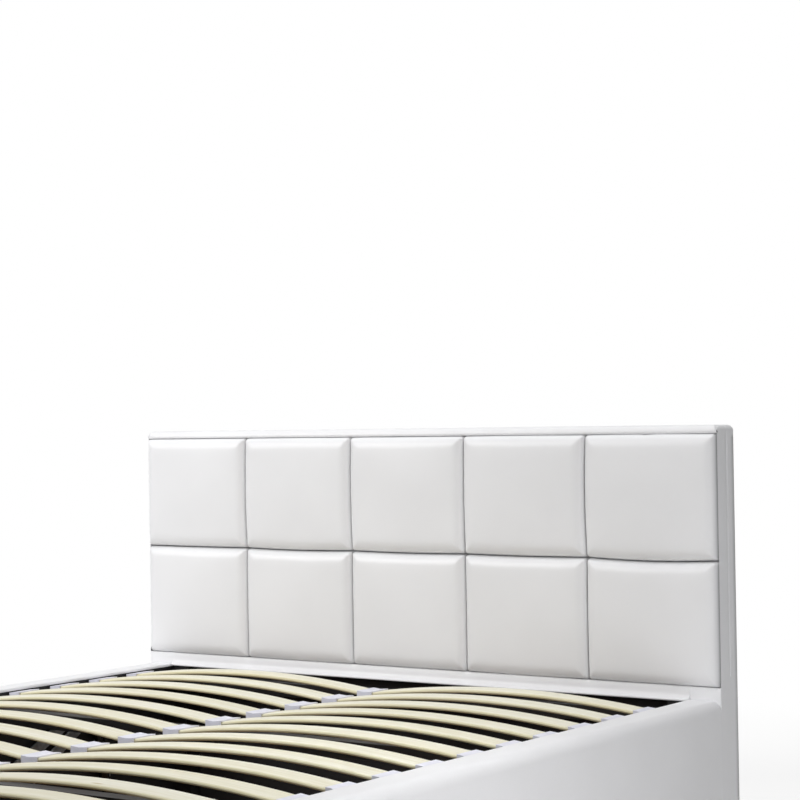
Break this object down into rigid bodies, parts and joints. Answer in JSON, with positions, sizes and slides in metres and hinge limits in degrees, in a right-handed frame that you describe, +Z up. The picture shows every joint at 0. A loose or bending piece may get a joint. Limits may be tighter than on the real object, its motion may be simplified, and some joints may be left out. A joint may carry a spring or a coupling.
{
  "type": "storage bed",
  "caption": "Double ottoman storage bed: quilted white headboard, padded rails, storage box, and a slatted platform that tilts up on linkages with gas struts.",
  "frame": {"origin": "on the floor, under the middle of the bed's box", "axes": "+X across the bed, to the right seen from the foot; +Y from the foot to the headboard; +Z up"},
  "size_m": [1.43, 2.04, 0.87],
  "materials": {
    "white_leather": "white coated leather cloth, fine grain, satin",
    "pine_timber": "sawn pine",
    "fibreboard": "thin fibreboard",
    "black_board": "board with a black face",
    "black_cloth": "black non-woven cloth",
    "birch": "pale layered birch, lightly varnished",
    "white_plastic": "moulded white plastic",
    "black_plastic": "moulded black plastic",
    "webbing": "black woven webbing",
    "black_steel": "black powder coat",
    "zinc_steel": "zinc plated steel",
    "chrome_rod": "polished hard chrome"
  },
  "bodies": {
    "root": {"base_feet": "black_plastic", "base_pivot_pins": "zinc_steel", "base_plates": "black_steel", "corner_brackets": "zinc_steel", "floor_battens": "pine_timber", "floor_centre_beam": "pine_timber", "floor_glides": "black_plastic", "floor_panels": "fibreboard", "foot_inner_panel": "black_board", "foot_panel_core": "pine_timber", "foot_panel_cover": "white_leather", "foot_rest_blocks": "black_board", "head_end_lining": "black_cloth", "headboard_back_cloth": "black_cloth", "headboard_board": "fibreboard", "headboard_border": "white_leather", "headboard_frame": "pine_timber", "headboard_legs": "black_board", "headboard_lower_band": "white_leather", "headboard_quilted_face": "white_leather", "headboard_wrap": "white_leather", "left_rail_core": "pine_timber", "left_rail_cover": "white_leather", "rail_inner_panels": "black_board", "right_rail_core": "pine_timber", "right_rail_cover": "white_leather", "screws": "zinc_steel"},
    "front_links": {"front_links": "zinc_steel"},
    "platform": {"slat_row_01": "birch", "slat_row_02": "birch", "slat_row_03": "birch", "slat_row_04": "birch", "slat_row_05": "birch", "slat_row_06": "birch", "slat_row_07": "birch", "slat_row_08": "birch", "slat_row_09": "birch", "slat_row_10": "birch", "slat_row_11": "birch", "slat_row_12": "birch", "slat_row_13": "birch", "slat_row_14": "birch", "slat_row_15": "birch", "platform_side_tubes": "black_steel", "platform_end_tubes": "black_steel", "platform_centre_tube": "black_steel", "platform_cross_bars": "black_steel", "centre_slat_holders": "white_plastic", "side_slat_holders": "white_plastic", "mattress_stops": "black_steel", "pull_straps": "webbing", "lid_plates": "black_steel", "lid_pivot_pins": "zinc_steel"},
    "rear_links": {"rear_links": "zinc_steel", "rear_link_pins": "zinc_steel"},
    "strut_cylinders": {"left_strut_cylinder": "black_steel", "right_strut_cylinder": "black_steel"},
    "strut_rods": {"left_strut_rod": "chrome_rod", "right_strut_rod": "chrome_rod"}
  },
  "joints": [
    {"name": "lift", "type": "hinge", "parent": "root", "child": "front_links", "pos_m": [0, 0.4112, 0.12], "axis": [1, 0, 0], "range_deg": [0, 35.71]},
    {"name": "platform_tilt", "type": "hinge", "parent": "front_links", "child": "platform", "pos_m": [0, 0.6734, 0.286], "axis": [1, 0, 0], "range_deg": [-72.21, 0.5]},
    {"name": "rear_link_swing", "type": "hinge", "parent": "root", "child": "rear_links", "pos_m": [0, 0.2, 0.072], "axis": [1, 0, 0], "range_deg": [-0.5, 29.27]},
    {"name": "strut_cylinder_swing", "type": "hinge", "parent": "root", "child": "strut_cylinders", "pos_m": [0, 0.71398, 0.05198], "axis": [1, 0, 0], "range_deg": [-0.5, 18.36]},
    {"name": "strut_rod_swing", "type": "hinge", "parent": "front_links", "child": "strut_rods", "pos_m": [0, 0.6734, 0.286], "axis": [1, 0, 0], "range_deg": [-18.36, 0.5]}
  ],
  "couplings": [
    {"joint": "platform_tilt", "follows": "lift", "ratio": -2.0081},
    {"joint": "rear_link_swing", "follows": "lift", "ratio": 0.80566},
    {"joint": "strut_cylinder_swing", "follows": "lift", "ratio": 0.5},
    {"joint": "strut_rod_swing", "follows": "lift", "ratio": -0.5}
  ]
}
